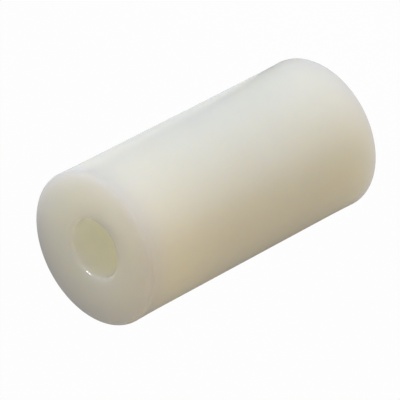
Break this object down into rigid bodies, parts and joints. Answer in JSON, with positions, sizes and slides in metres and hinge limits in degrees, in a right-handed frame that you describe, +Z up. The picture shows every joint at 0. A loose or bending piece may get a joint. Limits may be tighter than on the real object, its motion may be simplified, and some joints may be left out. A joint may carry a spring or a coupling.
{
  "type": "round spacer",
  "caption": "Plain round nylon spacer: a short thick-walled tube with a through bore for a screw, which holds two parts a set distance apart.",
  "frame": {"origin": "centre of the lower end face, on the surface that the spacer stands on", "axes": "+Z up along the bore's axis, from one end face to the other; the spacer is round, so X and Y are free"},
  "size_m": [0.01, 0.01, 0.02],
  "materials": {
    "natural_nylon": "natural off-white nylon, semi-gloss, a little translucent"
  },
  "bodies": {
    "root": {"spacer": "natural_nylon"}
  },
  "joints": []
}
